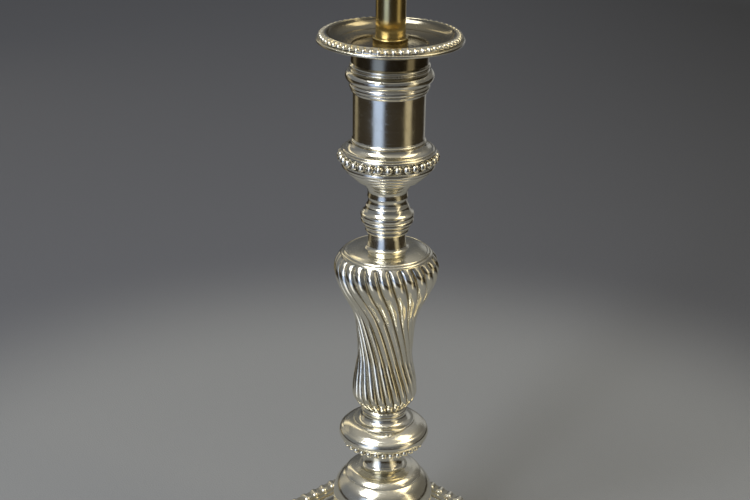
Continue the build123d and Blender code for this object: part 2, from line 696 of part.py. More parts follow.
with BuildPart() as candle_socket:
    groove_low = socket_bead_height - SOCKET_BEAD_RADIUS - FIT
    groove_high = socket_bead_height + SOCKET_BEAD_RADIUS + FIT
    cup = moulding(socket_bottom, SOCKET_HEIGHT, neck_radius, SOCKET_CUP_RADIUS, [
        (0.038, 0.04, 0.04),
        (0.080, 0.14, 0.08),
        (0.128, 0.38, 0.10),
        (0.130, 0.43, 0),
        (0.154, 0.53, -0.18),
        (0.156, 0.58, 0),
        (0.188, 0.70, -0.14),
        (0.190, 0.76, 0),
        (0.222, 0.87, -0.16),
        (0.224, 0.91, 0),
        (0.262, 0.97, -0.20),
    ])
    groove = [
        ((SOCKET_CUP_RADIUS, groove_low), 0),
        ((socket_bead_seat, groove_low), 0),
        ((socket_bead_seat, groove_high), 0),
        ((SOCKET_CUP_RADIUS, groove_high), 0),
    ]
    slope = moulding(socket_bottom, SOCKET_HEIGHT, neck_radius, SOCKET_CUP_RADIUS, [
        (0.356, 0.99, -0.20),
        (0.358, 0.94, 0),
        (0.372, 0.88, -0.20),
        (0.374, 0.83, 0),
        (0.418, 0.66, 0.12),
        (0.420, 0.62, 0),
    ])
    body = moulding(socket_bottom, SOCKET_HEIGHT, SOCKET_RADIUS, SOCKET_RIM_RADIUS, [
        (0.436, 0.12, -0.25),
        (0.450, 0.00, 0.10),
        (0.780, 0.02, 0),
        (0.792, 0.30, 0.15),
        (0.812, 0.34, -0.20),
        (0.814, 0.50, 0),
        (0.842, 0.56, -0.15),
        (0.862, 0.58, 0.18),
        (0.862, 0.74, 0),
        (0.944, 0.74, -0.29),
        (0.946, 0.52, 0),
        (0.962, 0.42, 0.18),
        (0.964, 0.50, 0),
        (0.990, 0.44, -0.25),
        (1.000, 0.24, 0),
    ])
    turn((mix(neck_radius, SOCKET_CUP_RADIUS, 0.05), socket_bottom), cup + groove + slope + body)
    ring_cut(SOCKET_BORE_RADIUS, socket_top - SOCKET_BORE_DEPTH, socket_top)
    ring_cut(stem_bore, socket_bottom, socket_top)
    joint_below(socket_bottom)
finish(candle_socket.part, "candle_socket")

with BuildPart() as socket_beads:
    bead_row(socket_bead_seat, socket_bead_height, SOCKET_BEADS, SOCKET_BEAD_RADIUS)
finish(socket_beads.part, "socket_beads")

# ---- Drip pan and its beads ----------------------------------------------

pan_under = pan_floor - PAN_THICKNESS
rim_outer = PAN_RADIUS - PAN_LIP_WIDTH
rim_inner = rim_outer - PAN_RIM_WIDTH
rim_edge = pan_crest - PAN_RIM_DROP
lip_bottom = rim_edge - PAN_LIP_HEIGHT
lip_top = mix(lip_bottom, rim_edge, 0.85)
crest_inner = rim_inner - PAN_CREST_WIDTH

with BuildPart() as drip_pan:
    turn((pan_skirt_radius, socket_top - PAN_SKIRT_LENGTH), [
        ((pan_skirt_radius, socket_top), 0),
        ((PAN_NECK_RADIUS, socket_top), 0),
        ((PAN_NECK_RADIUS, socket_top + PAN_NECK_HEIGHT), 0),
        ((mix(PAN_NECK_RADIUS, rim_outer, 0.11), pan_under), 0.15),
        ((mix(PAN_NECK_RADIUS, rim_outer, 0.50), mix(pan_under, lip_bottom, 0.40)), -0.03),
        ((mix(PAN_NECK_RADIUS, rim_outer, 0.86), mix(pan_under, lip_bottom, 0.92)), 0.04),
        ((rim_outer, lip_bottom), 0),
        ((PAN_RADIUS, mix(lip_bottom, lip_top, 0.50)), -0.25),
        ((mix(rim_outer, PAN_RADIUS, 0.60), lip_top), -0.25),
        ((rim_outer, lip_top), 0),
        ((rim_outer, rim_edge), 0),
        ((rim_inner, pan_crest), 0),
        ((crest_inner, pan_crest), -0.12),
        ((mix(PAN_DISC_RADIUS, crest_inner, 0.91), mix(pan_floor, pan_crest, 0.68)), 0.06),
        ((mix(PAN_DISC_RADIUS, crest_inner, 0.54), mix(pan_floor, pan_crest, 0.30)), 0.10),
        ((PAN_DISC_RADIUS, pan_floor + PAN_DISC_DEPTH), 0.04),
        ((PAN_DISC_RADIUS, pan_floor), 0),
    ])
    ring_cut(pan_skirt_radius - PAN_SKIRT_WALL, socket_top - PAN_SKIRT_LENGTH, pan_under)
    ring_cut(stem_bore, pan_under, pan_floor)
finish(drip_pan.part, "drip_pan")

with BuildPart() as pan_beads:
    with BuildSketch(Plane.XZ) as strip:
        Polygon(
            (rim_outer, rim_edge),
            (rim_outer, rim_edge + PAN_BEAD_BAND),
            (rim_inner, pan_crest + PAN_BEAD_BAND),
            (rim_inner, pan_crest),
            align=None,
        )
    revolve(strip.sketch, axis=Axis.Z)
    rim_fall = degrees(atan2(PAN_RIM_DROP, PAN_RIM_WIDTH))
    row_radius = (rim_outer + rim_inner) / 2 - PAN_BEAD_SINK * sin(radians(rim_fall))
    row_height = (rim_edge + pan_crest) / 2 - PAN_BEAD_SINK * cos(radians(rim_fall))
    pan_bead = grain(PAN_BEAD_LENGTH, PAN_BEAD_WIDTH)
    slanted = Location((0, 0, 0), (0, rim_fall, 0)) * Location((0, 0, 0), (0, 0, PAN_BEAD_SLANT))
    bead_angles = [360 / PAN_BEADS * number for number in range(PAN_BEADS)]
    bead_places = [
        Location((*polar_point(row_radius, angle), row_height), (0, 0, angle)) * slanted
        for angle in bead_angles
    ]
    with Locations(*bead_places):
        add(pan_bead)
    # Nothing of the beads goes below the slope that they sit on.
    with BuildSketch(Plane.XZ) as below:
        Polygon(
            (rim_outer + PAN_RIM_WIDTH, rim_edge - PAN_RIM_DROP),
            (rim_inner - PAN_RIM_WIDTH, pan_crest + PAN_RIM_DROP),
            (rim_inner - PAN_RIM_WIDTH, rim_edge - PAN_RIM_DROP),
            align=None,
        )
    revolve(below.sketch, axis=Axis.Z, mode=Mode.SUBTRACT)
finish(pan_beads.part, "pan_beads")

# ---- Brass tube and its collar -------------------------------------------

with BuildPart() as tube_collar:
    tube_between(TUBE_COLLAR_RADIUS, TUBE_RADIUS + FIT / 2, pan_floor, pan_floor + TUBE_COLLAR_HEIGHT)
    top_rim = tube_collar.edges().group_by(Axis.Z)[-1].sort_by(SortBy.RADIUS)[-1]
    fillet(top_rim, (TUBE_COLLAR_RADIUS - TUBE_RADIUS) / 3)
finish(tube_collar.part, "tube_collar")

with BuildPart() as brass_tube:
    tube_between(TUBE_RADIUS, TUBE_RADIUS - TUBE_WALL, pan_floor, tube_top)
finish(brass_tube.part, "brass_tube")

# ---- Lampholder: cap, screw, insulator -----------------------------------

bar_hole = BAR_RADIUS + MOVING_FIT


def bar_passage(half_length):
    """Cut the passage of the switch bar, along X."""
    with BuildSketch(Plane.YZ.offset(-half_length)) as passage:
        with Locations((0, bar_height)):
            Circle(bar_hole)
    extrude(passage.sketch, amount=2 * half_length, mode=Mode.SUBTRACT)


grub_height = tube_top + CAP_ENTRY_HEIGHT / 2
with BuildPart() as holder_cap:
    turn((CAP_ENTRY_RADIUS, tube_top), [
        ((CAP_ENTRY_RADIUS, cap_floor - CAP_WALL), 0),
        ((CAP_RADIUS, cap_shoulder), -0.22),
        ((CAP_RADIUS, cap_top), 0),
    ])
    cap_inside = CAP_RADIUS - CAP_WALL
    with BuildSketch(Plane.XZ):
        with BuildLine():
            outline((0, cap_floor), [
                ((CAP_ENTRY_RADIUS - CAP_WALL, cap_floor), 0),
                ((cap_inside, cap_shoulder), -0.20),
                ((cap_inside, cap_top), 0),
                ((0, cap_top), 0),
                ((0, cap_floor), 0),
            ])
        make_face()
    revolve(axis=Axis.Z, mode=Mode.SUBTRACT)
    ring_cut(PIPE_RADIUS + THREAD_FIT, tube_top, cap_floor)
    bar_passage(CAP_RADIUS)
    with BuildSketch(Plane.XZ):
        with Locations((0, grub_height)):
            Circle(GRUB_RADIUS + THREAD_FIT)
    extrude(amount=-CAP_ENTRY_RADIUS, mode=Mode.SUBTRACT)
finish(holder_cap.part, "holder_cap")

with BuildPart() as grub_screw:
    grub_tip = PIPE_RADIUS + FIT
    grub_head = CAP_ENTRY_RADIUS + CAP_WALL / 2
    with BuildSketch(Plane.XZ.offset(-grub_tip)):
        with Locations((0, grub_height)):
            Circle(GRUB_RADIUS)
    extrude(amount=grub_tip - grub_head)
    with BuildSketch(Plane.XZ.offset(-grub_head)):
        with Locations((0, grub_height)):
            Rectangle(2 * GRUB_RADIUS, TERMINAL_SLOT)
    extrude(amount=TERMINAL_SLOT, mode=Mode.SUBTRACT)
finish(grub_screw.part, "grub_screw")

pillar_radius = BARREL_SEAT_RADIUS - FIT
contact_top = pillar_top + CONTACT_STANDS_OUT
shoulder_top = pillar_top - CONTACT_MOUTH - MOVING_FIT
shoulder_bottom = shoulder_top - CONTACT_SHOULDER
spring_bottom = shoulder_bottom - SPRING_LENGTH
body_bottom = cap_shoulder + FIT

with BuildPart() as holder_insulator:
    turn((cap_inside - FIT, body_bottom), [
        ((cap_inside - FIT, cap_top), 0),
        ((CAP_RADIUS, cap_top), 0),
        ((CAP_RADIUS, insulator_top), 0),
        ((pillar_radius, insulator_top), 0),
        ((pillar_radius, pillar_top), 0),
    ])
    bar_passage(CAP_RADIUS)
    with BuildSketch(Plane.XY.offset(spring_bottom)):
        with GridLocations(0, CONTACT_SPACING, 1, 2):
            Circle(CONTACT_HEAD_RADIUS + MOVING_FIT)
    extrude(amount=pillar_top - CONTACT_MOUTH - spring_bottom, mode=Mode.SUBTRACT)
    with BuildSketch(Plane.XY.offset(spring_bottom)):
        with GridLocations(0, CONTACT_SPACING, 1, 2):
            Circle(CONTACT_STEM_RADIUS + MOVING_FIT)
    extrude(amount=pillar_top - spring_bottom, mode=Mode.SUBTRACT)
    with BuildSketch(Plane.XY.offset(body_bottom)):
        with GridLocations(0, TERMINAL_SPACING, 1, 2):
            Circle(TERMINAL_RADIUS + THREAD_FIT)
    extrude(amount=TERMINAL_LENGTH + FIT, mode=Mode.SUBTRACT)
finish(holder_insulator.part, "holder_insulator")

with BuildPart() as terminal_screws:
    with BuildSketch(Plane.XY.offset(body_bottom)):
        with GridLocations(0, TERMINAL_SPACING, 1, 2):
            Circle(TERMINAL_RADIUS)
    extrude(amount=TERMINAL_LENGTH)
    with BuildSketch(Plane.XY.offset(body_bottom)):
        with GridLocations(0, TERMINAL_SPACING, 1, 2):
            Circle(TERMINAL_HEAD_RADIUS)
    extrude(amount=-TERMINAL_HEAD_HEIGHT)
    with BuildSketch(Plane.XY.offset(body_bottom - TERMINAL_HEAD_HEIGHT)):
        with GridLocations(0, TERMINAL_SPACING, 1, 2):
            Rectangle(2 * TERMINAL_HEAD_RADIUS, TERMINAL_SLOT)
    extrude(amount=TERMINAL_SLOT, mode=Mode.SUBTRACT)
finish(terminal_screws.part, "terminal_screws")

# ---- Lampholder: barrel, skirt, shade ring -------------------------------

flange_top = insulator_top + BARREL_WALL
mouth_bottom = barrel_top - BARREL_MOUTH_DEPTH
thread_end = skirt_top + SKIRT_THREAD_HEIGHT
skirt_end = thread_end + SKIRT_END_HEIGHT

with BuildPart() as holder_barrel:
    tube_between(CAP_RADIUS, BARREL_SEAT_RADIUS, insulator_top, flange_top)
    tube_between(barrel_radius, BARREL_SEAT_RADIUS, insulator_top, barrel_top)
    ring_cut(BARREL_BORE_RADIUS, mouth_bottom, barrel_top)
    # Two bayonet slots: down, round to the side and a little up again.
    slot_floor = barrel_top - SLOT_DEPTH
    for way in (0, 180):
        with BuildSketch(Plane.XY.offset(slot_floor)):
            with Locations(Location((0, 0), way)):
                with Locations((barrel_radius, 0)):
                    Rectangle(4 * BARREL_WALL, SLOT_WIDTH)
        extrude(amount=SLOT_DEPTH, mode=Mode.SUBTRACT)
        with BuildSketch(Plane.XY.offset(slot_floor)):
            with BuildLine():
                near = barrel_radius - 2 * BARREL_WALL
                far = barrel_radius + 2 * BARREL_WALL
                Line(polar_point(near, way), polar_point(far, way))
                CenterArc((0, 0), far, way, SLOT_TURN)
                Line(polar_point(far, way + SLOT_TURN), polar_point(near, way + SLOT_TURN))
                CenterArc((0, 0), near, way, SLOT_TURN)
            make_face()
        extrude(amount=SLOT_WIDTH, mode=Mode.SUBTRACT)
        with BuildSketch(Plane.XY.offset(slot_floor)):
            with Locations(Location((0, 0), way + SLOT_TURN)):
                with Locations((barrel_radius, 0)):
                    Rectangle(4 * BARREL_WALL, SLOT_WIDTH)
        extrude(amount=SLOT_WIDTH + SLOT_LOCK, mode=Mode.SUBTRACT)
finish(holder_barrel.part, "holder_barrel")

with BuildPart() as holder_skirt:
    collar_inside = CAP_RADIUS + FIT
    collar_outside = collar_inside + SKIRT_WALL
    collar_bottom = cap_top - SKIRT_COLLAR_HEIGHT
    tube_between(collar_outside, collar_inside, collar_bottom, skirt_top)
    tube_between(collar_outside, SKIRT_THREAD_RADIUS - SKIRT_WALL, flange_top, skirt_top)
    collar_rim = holder_skirt.edges().group_by(Axis.Z)[-1].sort_by(SortBy.RADIUS)[-1]
    fillet(collar_rim, SKIRT_WALL / 2)
    tube_between(SKIRT_THREAD_RADIUS, SKIRT_THREAD_RADIUS - SKIRT_WALL, flange_top, thread_end)
    tube_between(SKIRT_END_RADIUS, SKIRT_THREAD_RADIUS - SKIRT_WALL, thread_end, skirt_end)
finish(holder_skirt.part, "holder_skirt")

with BuildPart() as shade_ring:
    ring_inside = SKIRT_THREAD_RADIUS + MOVING_FIT
    tube_between(RING_RADIUS, ring_inside, ring_bottom, ring_bottom + RING_HEIGHT)
    ring_rims = shade_ring.edges().filter_by(GeomType.CIRCLE).sort_by(SortBy.RADIUS)[-2:]
    chamfer(ring_rims, KNURL_RADIUS)
    with BuildSketch(Plane.XY.offset(ring_bottom)):
        with PolarLocations(RING_RADIUS, RING_KNURLS):
            Circle(KNURL_RADIUS)
    extrude(amount=RING_HEIGHT, mode=Mode.SUBTRACT)
finish(shade_ring.part, "shade_ring")

# ---- Contacts, springs and switch bar ------------------------------------

contact_sides = {"left": -1, "right": 1}
for side, sign in contact_sides.items():
    contact_y = sign * CONTACT_SPACING / 2
    with BuildPart() as contact:
        with BuildSketch(Plane.XY.offset(shoulder_bottom)):
            with Locations((0, contact_y)):
                Circle(CONTACT_HEAD_RADIUS)
        extrude(amount=CONTACT_SHOULDER)
        with BuildSketch(Plane.XY.offset(shoulder_bottom)):
            with Locations((0, contact_y)):
                Circle(CONTACT_STEM_RADIUS)
        extrude(amount=contact_top - shoulder_bottom)
        tip = contact.edges().group_by(Axis.Z)[-1]
        fillet(tip, CONTACT_STEM_RADIUS / 3)
    finish(contact.part, f"contact_{side}")

    spring_pitch = (SPRING_LENGTH - 2 * SPRING_WIRE_RADIUS) / SPRING_TURNS
    with BuildPart() as spring:
        with BuildLine() as coil:
            Helix(
                spring_pitch,
                SPRING_LENGTH - 2 * SPRING_WIRE_RADIUS,
                SPRING_RADIUS,
                center=(0, contact_y, spring_bottom + SPRING_WIRE_RADIUS),
            )
        with BuildSketch(Plane(origin=coil.line @ 0, z_dir=coil.line % 0)):
            Circle(SPRING_WIRE_RADIUS)
        sweep()
    finish(spring.part, f"contact_spring_{side}")

# Least gap between points of the coil on neighbouring turns.
steps = 48
coil_points = [coil.line @ (n / (steps * SPRING_TURNS)) for n in range(steps * SPRING_TURNS + 1)]
least = min(
    (coil_points[first] - coil_points[second]).length
    for first in range(len(coil_points))
    for second in range(first + steps // 2, len(coil_points))
)
print("least gap of a contact spring to itself", round(least - 2 * SPRING_WIRE_RADIUS, 2), "mm")

with BuildPart() as switch_bar:
    bar_left = -CAP_RADIUS - BAR_STANDS_OUT - BAR_TRAVEL
    with BuildSketch(Plane.YZ.offset(bar_left)):
        with Locations((0, bar_height)):
            Circle(BAR_RADIUS)
    extrude(amount=2 * (CAP_RADIUS + BAR_STANDS_OUT) + BAR_TRAVEL)
    fillet(switch_bar.edges().filter_by(GeomType.CIRCLE), BAR_END_ROUND)
finish(switch_bar.part, "switch_bar")

# ---- Export --------------------------------------------------------------

os.makedirs("parts", exist_ok=True)
for piece in finished:
    export_step(piece, f"parts/{piece.label}.step")
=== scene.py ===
import json
import math

import bmesh
import bpy
from mathutils import Matrix, Vector


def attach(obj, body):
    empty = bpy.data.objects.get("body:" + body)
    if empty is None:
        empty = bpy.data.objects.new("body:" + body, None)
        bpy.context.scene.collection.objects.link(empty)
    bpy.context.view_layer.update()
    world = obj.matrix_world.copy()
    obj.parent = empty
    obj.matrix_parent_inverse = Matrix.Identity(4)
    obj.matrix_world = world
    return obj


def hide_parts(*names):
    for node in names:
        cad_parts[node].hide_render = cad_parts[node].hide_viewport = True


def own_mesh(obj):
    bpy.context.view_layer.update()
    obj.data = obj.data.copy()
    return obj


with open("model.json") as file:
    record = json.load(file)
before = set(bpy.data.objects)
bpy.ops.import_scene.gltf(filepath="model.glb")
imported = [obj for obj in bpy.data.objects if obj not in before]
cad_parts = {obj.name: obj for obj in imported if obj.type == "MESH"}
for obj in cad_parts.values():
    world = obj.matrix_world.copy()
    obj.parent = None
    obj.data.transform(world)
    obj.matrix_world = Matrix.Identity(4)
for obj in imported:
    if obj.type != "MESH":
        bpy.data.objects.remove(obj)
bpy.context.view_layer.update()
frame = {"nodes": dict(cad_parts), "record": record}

# ---- Node helpers -----------------------------------------------------------


class Nodes:
    """Adds nodes to a tree and joins them."""

    def __init__(self, tree):
        self.tree = tree

    def add(self, kind, **settings):
        node = self.tree.nodes.new(kind)
        for name, value in settings.items():
            setattr(node, name, value)
        return node

    def put(self, socket, value):
        """Links an output to a socket, or sets the socket to a plain value."""
        if isinstance(value, bpy.types.NodeSocket):
            self.tree.links.new(value, socket)
        else:
            socket.default_value = value

    def put_all(self, sockets, values):
        for socket, value in zip(sockets, values):
            self.put(socket, value)

    def math(self, operation, first, second=0.0):
        node = self.add("ShaderNodeMath", operation=operation)
        self.put_all(node.inputs, (first, second))
        return node.outputs[0]

    def total(self, *values):
        """The sum of two or more values."""
        result = values[0]
        for value in values[1:]:
            result = self.math("ADD", result, value)
        return result

    def fit(self, value, low, high, to_low=0.0, to_high=1.0, curve="LINEAR"):
        """Maps low..high to to_low..to_high, held at both ends."""
        node = self.add("ShaderNodeMapRange", clamp=True, interpolation_type=curve)
        self.put_all(node.inputs, (value, low, high, to_low, to_high))
        return node.outputs[0]

    def blend(self, share, first, second):
        """Mixes two colours."""
        node = self.add("ShaderNodeMix", data_type="RGBA")
        self.put(node.inputs["Factor"], share)
        self.put_all((node.inputs[6], node.inputs[7]), (first, second))
        return node.outputs[2]

    def length(self, vector):
        node = self.add("ShaderNodeVectorMath", operation="LENGTH")
        self.put(node.inputs[0], vector)
        return node.outputs["Value"]

    def towards(self, vector, aim):
        """How far a vector reaches along the direction aim."""
        node = self.add("ShaderNodeVectorMath", operation="DOT_PRODUCT")
        self.put_all(node.inputs, (vector, aim))
        return node.outputs["Value"]


class Finish(Nodes):
    """A material whose colour, roughness and bump are built from nodes."""

    def __init__(self, name, metallic=0.0, **sockets):
        self.material = bpy.data.materials.new(name)
        self.material.use_nodes = True
        super().__init__(self.material.node_tree)
        self.shader = self.tree.nodes["Principled BSDF"]
        self.shader.inputs["Metallic"].default_value = metallic
        for socket, value in sockets.items():
            self.shader.inputs[socket.replace("_", " ")].default_value = value
        self.place = self.add("ShaderNodeTexCoord").outputs["Object"]

    def turned_on_a_lathe(self):
        """Draws reflections out across the lathe marks, which run round the stem."""
        tangent = self.add("ShaderNodeTangent", direction_type="RADIAL", axis="Z")
        self.put(self.shader.inputs["Tangent"], tangent.outputs[0])

    def stretched(self, scale, turn=(0, 0, 0)):
        """The object's coordinates turned, then scaled by axis."""
        spin = self.add("ShaderNodeMapping")
        spin.inputs["Rotation"].default_value = turn
        self.put(spin.inputs["Vector"], self.place)
        node = self.add("ShaderNodeMapping")
        node.inputs["Scale"].default_value = scale
        self.put(node.inputs["Vector"], spin.outputs[0])
        return node.outputs[0]

    def round_the_axis(self, along):
        """Coordinates for marks that run round the stem, as a lathe leaves them."""
        parts = self.add("ShaderNodeSeparateXYZ")
        self.put(parts.inputs[0], self.place)
        east, north, height = parts.outputs
        squares = self.total(self.math("MULTIPLY", east, east), self.math("MULTIPLY", north, north))
        angle = self.math("ARCTAN2", north, east)
        joined = self.add("ShaderNodeCombineXYZ")
        self.put_all(joined.inputs,
                     (self.math("MULTIPLY", angle, along), self.math("SQRT", squares), height))
        return joined.outputs[0]

    def noise(self, scale, detail=3.0, roughness=0.55, vector=None):
        node = self.add("ShaderNodeTexNoise")
        node.inputs["Scale"].default_value = scale
        node.inputs["Detail"].default_value = detail
        node.inputs["Roughness"].default_value = roughness
        self.put(node.inputs["Vector"], self.place if vector is None else vector)
        return node.outputs["Fac"]

    def cells(self, scale):
        """The distance from the middle of the nearest cell."""
        node = self.add("ShaderNodeTexVoronoi")
        node.inputs["Scale"].default_value = scale
        self.put(node.inputs["Vector"], self.place)
        return node.outputs["Distance"]

    def recess(self, reach):
        """1 deep in a groove, 0 on open metal."""
        node = self.add("ShaderNodeAmbientOcclusion", samples=6, only_local=True)
        node.inputs["Distance"].default_value = reach
        return self.math("SUBTRACT", 1.0, node.outputs["AO"])

    def inside(self, radius):
        """1 near the axis, 0 beyond a radius."""
        edge = radius * 0.93
        return self.fit(self.length(self.stretched((1.0, 1.0, 0.0))), edge, radius, 1.0, 0.0)

    def hairlines(self, scale, turn, width):
        """Thin scratches: 1 on a line, 0 between."""
        field = self.noise(scale, 1.0, 0.4, self.stretched((1.0, 0.035, 1.0), turn))
        offset = self.math("ABSOLUTE", self.math("SUBTRACT", field, 0.5))
        return self.fit(offset, 0.0, width, 1.0, 0.0)

    def bump(self, height, distance, under=None):
        node = self.add("ShaderNodeBump")
        node.inputs["Strength"].default_value = 1.0
        node.inputs["Distance"].default_value = distance
        self.put(node.inputs["Height"], height)
        if under is not None:
            self.put(node.inputs["Normal"], under)
        return node.outputs[0]

    def finish(self, colour, roughness, normal=None):
        self.put(self.shader.inputs["Base Color"], colour)
        self.put(self.shader.inputs["Roughness"], roughness)
        if normal is not None:
            self.put(self.shader.inputs["Normal"], normal)
        return self.material


# ---- Finishes ---------------------------------------------------------------

SILVER = (0.89, 0.855, 0.745, 1)
CLOUDED_SILVER = (0.79, 0.74, 0.575, 1)
# Painted shade: the next colour darkens the middle of the drip pan's bowl, out to the radius below,
# in place of the dark reflection the bowl shows.
PAN_PAINTED_SHADE = (0.28, 0.245, 0.17, 1)
SILVER_GROOVE = (0.36, 0.29, 0.17, 1)
PAN_PAINTED_SHADE_RADIUS = 0.0285
DENT_HEIGHT = 0.00016
LATHE_MARK_HEIGHT = 0.0000035

BRASS = (0.78, 0.63, 0.30, 1)
CLOUDED_BRASS = (0.70, 0.55, 0.24, 1)
BUFFED_LINE = (0.60, 0.42, 0.15, 1)
BRASS_GROOVE = (0.24, 0.15, 0.06, 1)
BRASS_GROOVE_REACH = 0.0025
BRASS_WAVE_HEIGHT = 0.00003

ZINC = (0.68, 0.69, 0.70, 1)
DARK_ZINC = (0.54, 0.55, 0.57, 1)
ZINC_SPOT = (0.36, 0.31, 0.25, 1)
ZINC_GRAIN_HEIGHT = 0.00001

DEEP_GREEN = (0.022, 0.085, 0.050, 1)
GREEN = (0.065, 0.195, 0.120, 1)
FADED_GREEN = (0.12, 0.16, 0.10, 1)
NAP_HEIGHT = 0.0003

PLASTER = (0.77, 0.74, 0.67, 1)
GREY_PLASTER = (0.66, 0.62, 0.54, 1)
PIT_SHADE = (0.40, 0.37, 0.32, 1)
PIT_DEPTH = 0.00012

MOULDED_GRAIN_HEIGHT = 0.00002


def silver_plate(name, groove_reach=0.0020, groove_depth=0.80, painted_shade=0.0):
    """Old silver plate, hand polished on the lathe: bright, with olive grey left in the grooves."""
    f = Finish(name, metallic=1.0, Anisotropic=0.65)
    f.turned_on_a_lathe()
    cloudy = f.fit(f.noise(55, 4.0), 0.35, 0.7)
    groove = f.fit(f.recess(groove_reach), 0.20, groove_depth)
    open_metal = f.blend(cloudy, SILVER, CLOUDED_SILVER)
    # Painted shade: the drip pan's bowl is painted dark within a radius of the axis, standing in
    # for the dark reflection it shows.
    if painted_shade:
        share = f.math("MULTIPLY", f.inside(PAN_PAINTED_SHADE_RADIUS), painted_shade)
        open_metal = f.blend(share, open_metal, PAN_PAINTED_SHADE)
    colour = f.blend(groove, open_metal, SILVER_GROOVE)
    rub = f.fit(f.noise(1400, 2.0, 0.6, f.round_the_axis(0.004)), 0.3, 0.7, 0.0, 0.05)
    haze = f.fit(f.noise(160, 3.0), 0.35, 0.75, 0.085, 0.17)
    scratches = f.math("MAXIMUM", f.hairlines(700, (0.5, 0.3, 0.9), 0.012),
                       f.hairlines(560, (1.2, 0.8, 0.1), 0.010))
    rough = f.total(haze, rub, f.math("MULTIPLY", scratches, 0.10),
                    f.math("MULTIPLY", groove, 0.20))
    dents = f.bump(f.noise(75, 2.0, 0.45), DENT_HEIGHT)
    marks = f.math("SUBTRACT", f.noise(900, 2.0, 0.6, f.round_the_axis(0.01)), scratches)
    return f.finish(colour, rough, f.bump(marks, LATHE_MARK_HEIGHT, dents))


def satin_brass(name):
    """Brass buffed as it turned in the lathe, browned where parts meet."""
    f = Finish(name, metallic=1.0, Anisotropic=0.85)
    f.turned_on_a_lathe()
    lines = f.fit(f.noise(1500, 1.0, 0.5, f.round_the_axis(0.001)), 0.3, 0.7)
    cloudy = f.fit(f.noise(70, 3.0), 0.35, 0.72)
    groove = f.fit(f.recess(BRASS_GROOVE_REACH), 0.18, 0.75)
    colour = f.blend(cloudy, BRASS, CLOUDED_BRASS)
    colour = f.blend(f.math("MULTIPLY", lines, 0.10), colour, BUFFED_LINE)
    colour = f.blend(groove, colour, BRASS_GROOVE)
    rough = f.total(f.fit(lines, 0.0, 1.0, 0.155, 0.175), f.math("MULTIPLY", cloudy, 0.04),
                    f.math("MULTIPLY", groove, 0.18))
    return f.finish(colour, rough, f.bump(f.noise(60, 2.0), BRASS_WAVE_HEIGHT))


def plated_steel(name):
    """Zinc plate: grey with a faint crystal pattern and dull spots."""
    f = Finish(name, metallic=1.0)
    grey = f.blend(f.fit(f.cells(420), 0.0, 0.9), ZINC, DARK_ZINC)
    spots = f.fit(f.noise(130, 5.0, 0.7), 0.56, 0.74)
    marks = f.fit(f.noise(1800, 2.0, 0.6, f.round_the_axis(0.004)), 0.3, 0.7, 0.26, 0.40)
    rough = f.total(marks, f.math("MULTIPLY", spots, 0.25))
    return f.finish(f.blend(spots, grey, ZINC_SPOT), rough,
                    f.bump(f.noise(1500, 2.0), ZINC_GRAIN_HEIGHT))


def baize(name):
    """Green felt, matted fibres with a soft nap."""
    f = Finish(name, Sheen_Weight=0.35, Sheen_Roughness=0.5, Specular_IOR_Level=0.2)
    fibres = f.noise(1900, 4.0, 0.75, f.stretched((1.0, 0.25, 1.0), (0.0, 0.0, 0.7)))
    crossed = f.noise(2300, 3.0, 0.7, f.stretched((0.25, 1.0, 1.0), (0.0, 0.0, 0.2)))
    nap = f.math("MULTIPLY", f.total(fibres, crossed), 0.5)
    colour = f.blend(f.fit(nap, 0.36, 0.64), DEEP_GREEN, GREEN)
    colour = f.blend(f.fit(f.noise(45, 3.0), 0.5, 0.75, 0.0, 0.5), colour, FADED_GREEN)
    return f.finish(colour, f.fit(nap, 0.3, 0.7, 0.82, 0.98), f.bump(nap, NAP_HEIGHT))


def cast_plaster(name):
    """Cast filling, chalky with small pits."""
    f = Finish(name, Specular_IOR_Level=0.25)
    pits = f.fit(f.cells(520), 0.08, 0.30, 1.0, 0.0)
    colour = f.blend(f.fit(f.noise(80, 4.0), 0.35, 0.7), PLASTER, GREY_PLASTER)
    colour = f.blend(f.math("MULTIPLY", pits, 0.5), colour, PIT_SHADE)
    height = f.math("SUBTRACT", f.noise(900, 3.0), pits)
    rough = f.fit(f.noise(400, 2.0), 0.3, 0.7, 0.78, 0.93)
    return f.finish(colour, rough, f.bump(height, PIT_DEPTH))


def moulded(name, dark, light, smoothest, roughest, grain):
    """Moulded plastic with a fine eroded skin."""
    f = Finish(name, Specular_IOR_Level=0.45)
    mottle = f.fit(f.noise(140, 4.0, 0.6), 0.35, 0.7)
    skin = f.noise(grain, 3.0, 0.6)
    return f.finish(f.blend(mottle, dark, light), f.fit(skin, 0.3, 0.7, smoothest, roughest),
                    f.bump(skin, MOULDED_GRAIN_HEIGHT))


finishes = {
    "silver": silver_plate("silver_plate"),
    "brass": satin_brass("satin_brass"),
    "steel": plated_steel("zinc_plated_steel"),
    "felt": baize("green_baize"),
    "plaster": cast_plaster("cast_plaster"),
    "bush": moulded("black_bush", (0.030, 0.030, 0.032, 1), (0.055, 0.054, 0.055, 1),
                    0.42, 0.60, grain=1500),
    "insulator": moulded("brown_phenolic", (0.060, 0.034, 0.022, 1), (0.115, 0.070, 0.045, 1),
                         0.28, 0.42, grain=900),
}
# The drip pan's silver, with painted shade in its bowl.
pan_painted_shade_silver = silver_plate("pan_painted_shade_silver", painted_shade=0.90)
beaded_silver = silver_plate("beaded_silver", groove_reach=0.0015, groove_depth=0.55)
for part in frame["record"]["subparts"]:
    slots = frame["nodes"][part["node"]].data.materials
    slots.clear()
    if part["node"].endswith("_beads"):
        slots.append(beaded_silver)
    elif part["node"] == "drip_pan":
        slots.append(pan_painted_shade_silver)
    else:
        slots.append(finishes[part["material_slot"]])

# ---- Contact springs --------------------------------------------------------

